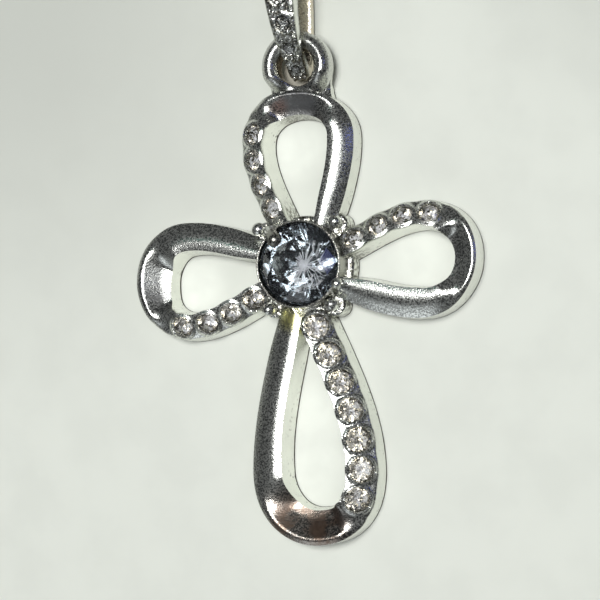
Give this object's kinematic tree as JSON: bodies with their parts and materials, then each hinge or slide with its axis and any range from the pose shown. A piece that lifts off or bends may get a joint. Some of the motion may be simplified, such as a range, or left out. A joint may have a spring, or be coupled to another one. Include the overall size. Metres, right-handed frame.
{
  "type": "cross pendant",
  "caption": "Openwork cross pendant of cast ribbon loops round a large faceted stone, with stone set strands, a top ring and a tapered bail.",
  "frame": {"origin": "on the flat back of the cross, under the middle of the centre stone", "axes": "+Z out of the face, +Y along the cross towards the ring and bail, +X to the right seen from the front"},
  "size_m": [0.0223, 0.0386, 0.0054],
  "materials": {
    "cast_silver": "worn polished silver plate over a cast body",
    "bail_silver": "polished silver plate",
    "centre_crystal": "faceted glass with a foiled back",
    "small_crystal": "faceted glass with a foiled back"
  },
  "bodies": {
    "root": {"cross_casting": "cast_silver", "bail": "bail_silver", "centre_stone": "centre_crystal", "stone_upper_1": "small_crystal", "stone_upper_2": "small_crystal", "stone_upper_3": "small_crystal", "stone_upper_4": "small_crystal", "stone_right_1": "small_crystal", "stone_right_2": "small_crystal", "stone_right_3": "small_crystal", "stone_right_4": "small_crystal", "stone_left_1": "small_crystal", "stone_left_2": "small_crystal", "stone_left_3": "small_crystal", "stone_left_4": "small_crystal", "stone_lower_1": "small_crystal", "stone_lower_2": "small_crystal", "stone_lower_3": "small_crystal", "stone_lower_4": "small_crystal", "stone_lower_5": "small_crystal", "stone_lower_6": "small_crystal", "stone_lower_7": "small_crystal", "bail_stone_1": "small_crystal", "bail_stone_2": "small_crystal", "bail_stone_3": "small_crystal", "bail_stone_4": "small_crystal", "bail_stone_5": "small_crystal", "bail_stone_6": "small_crystal"}
  },
  "joints": []
}
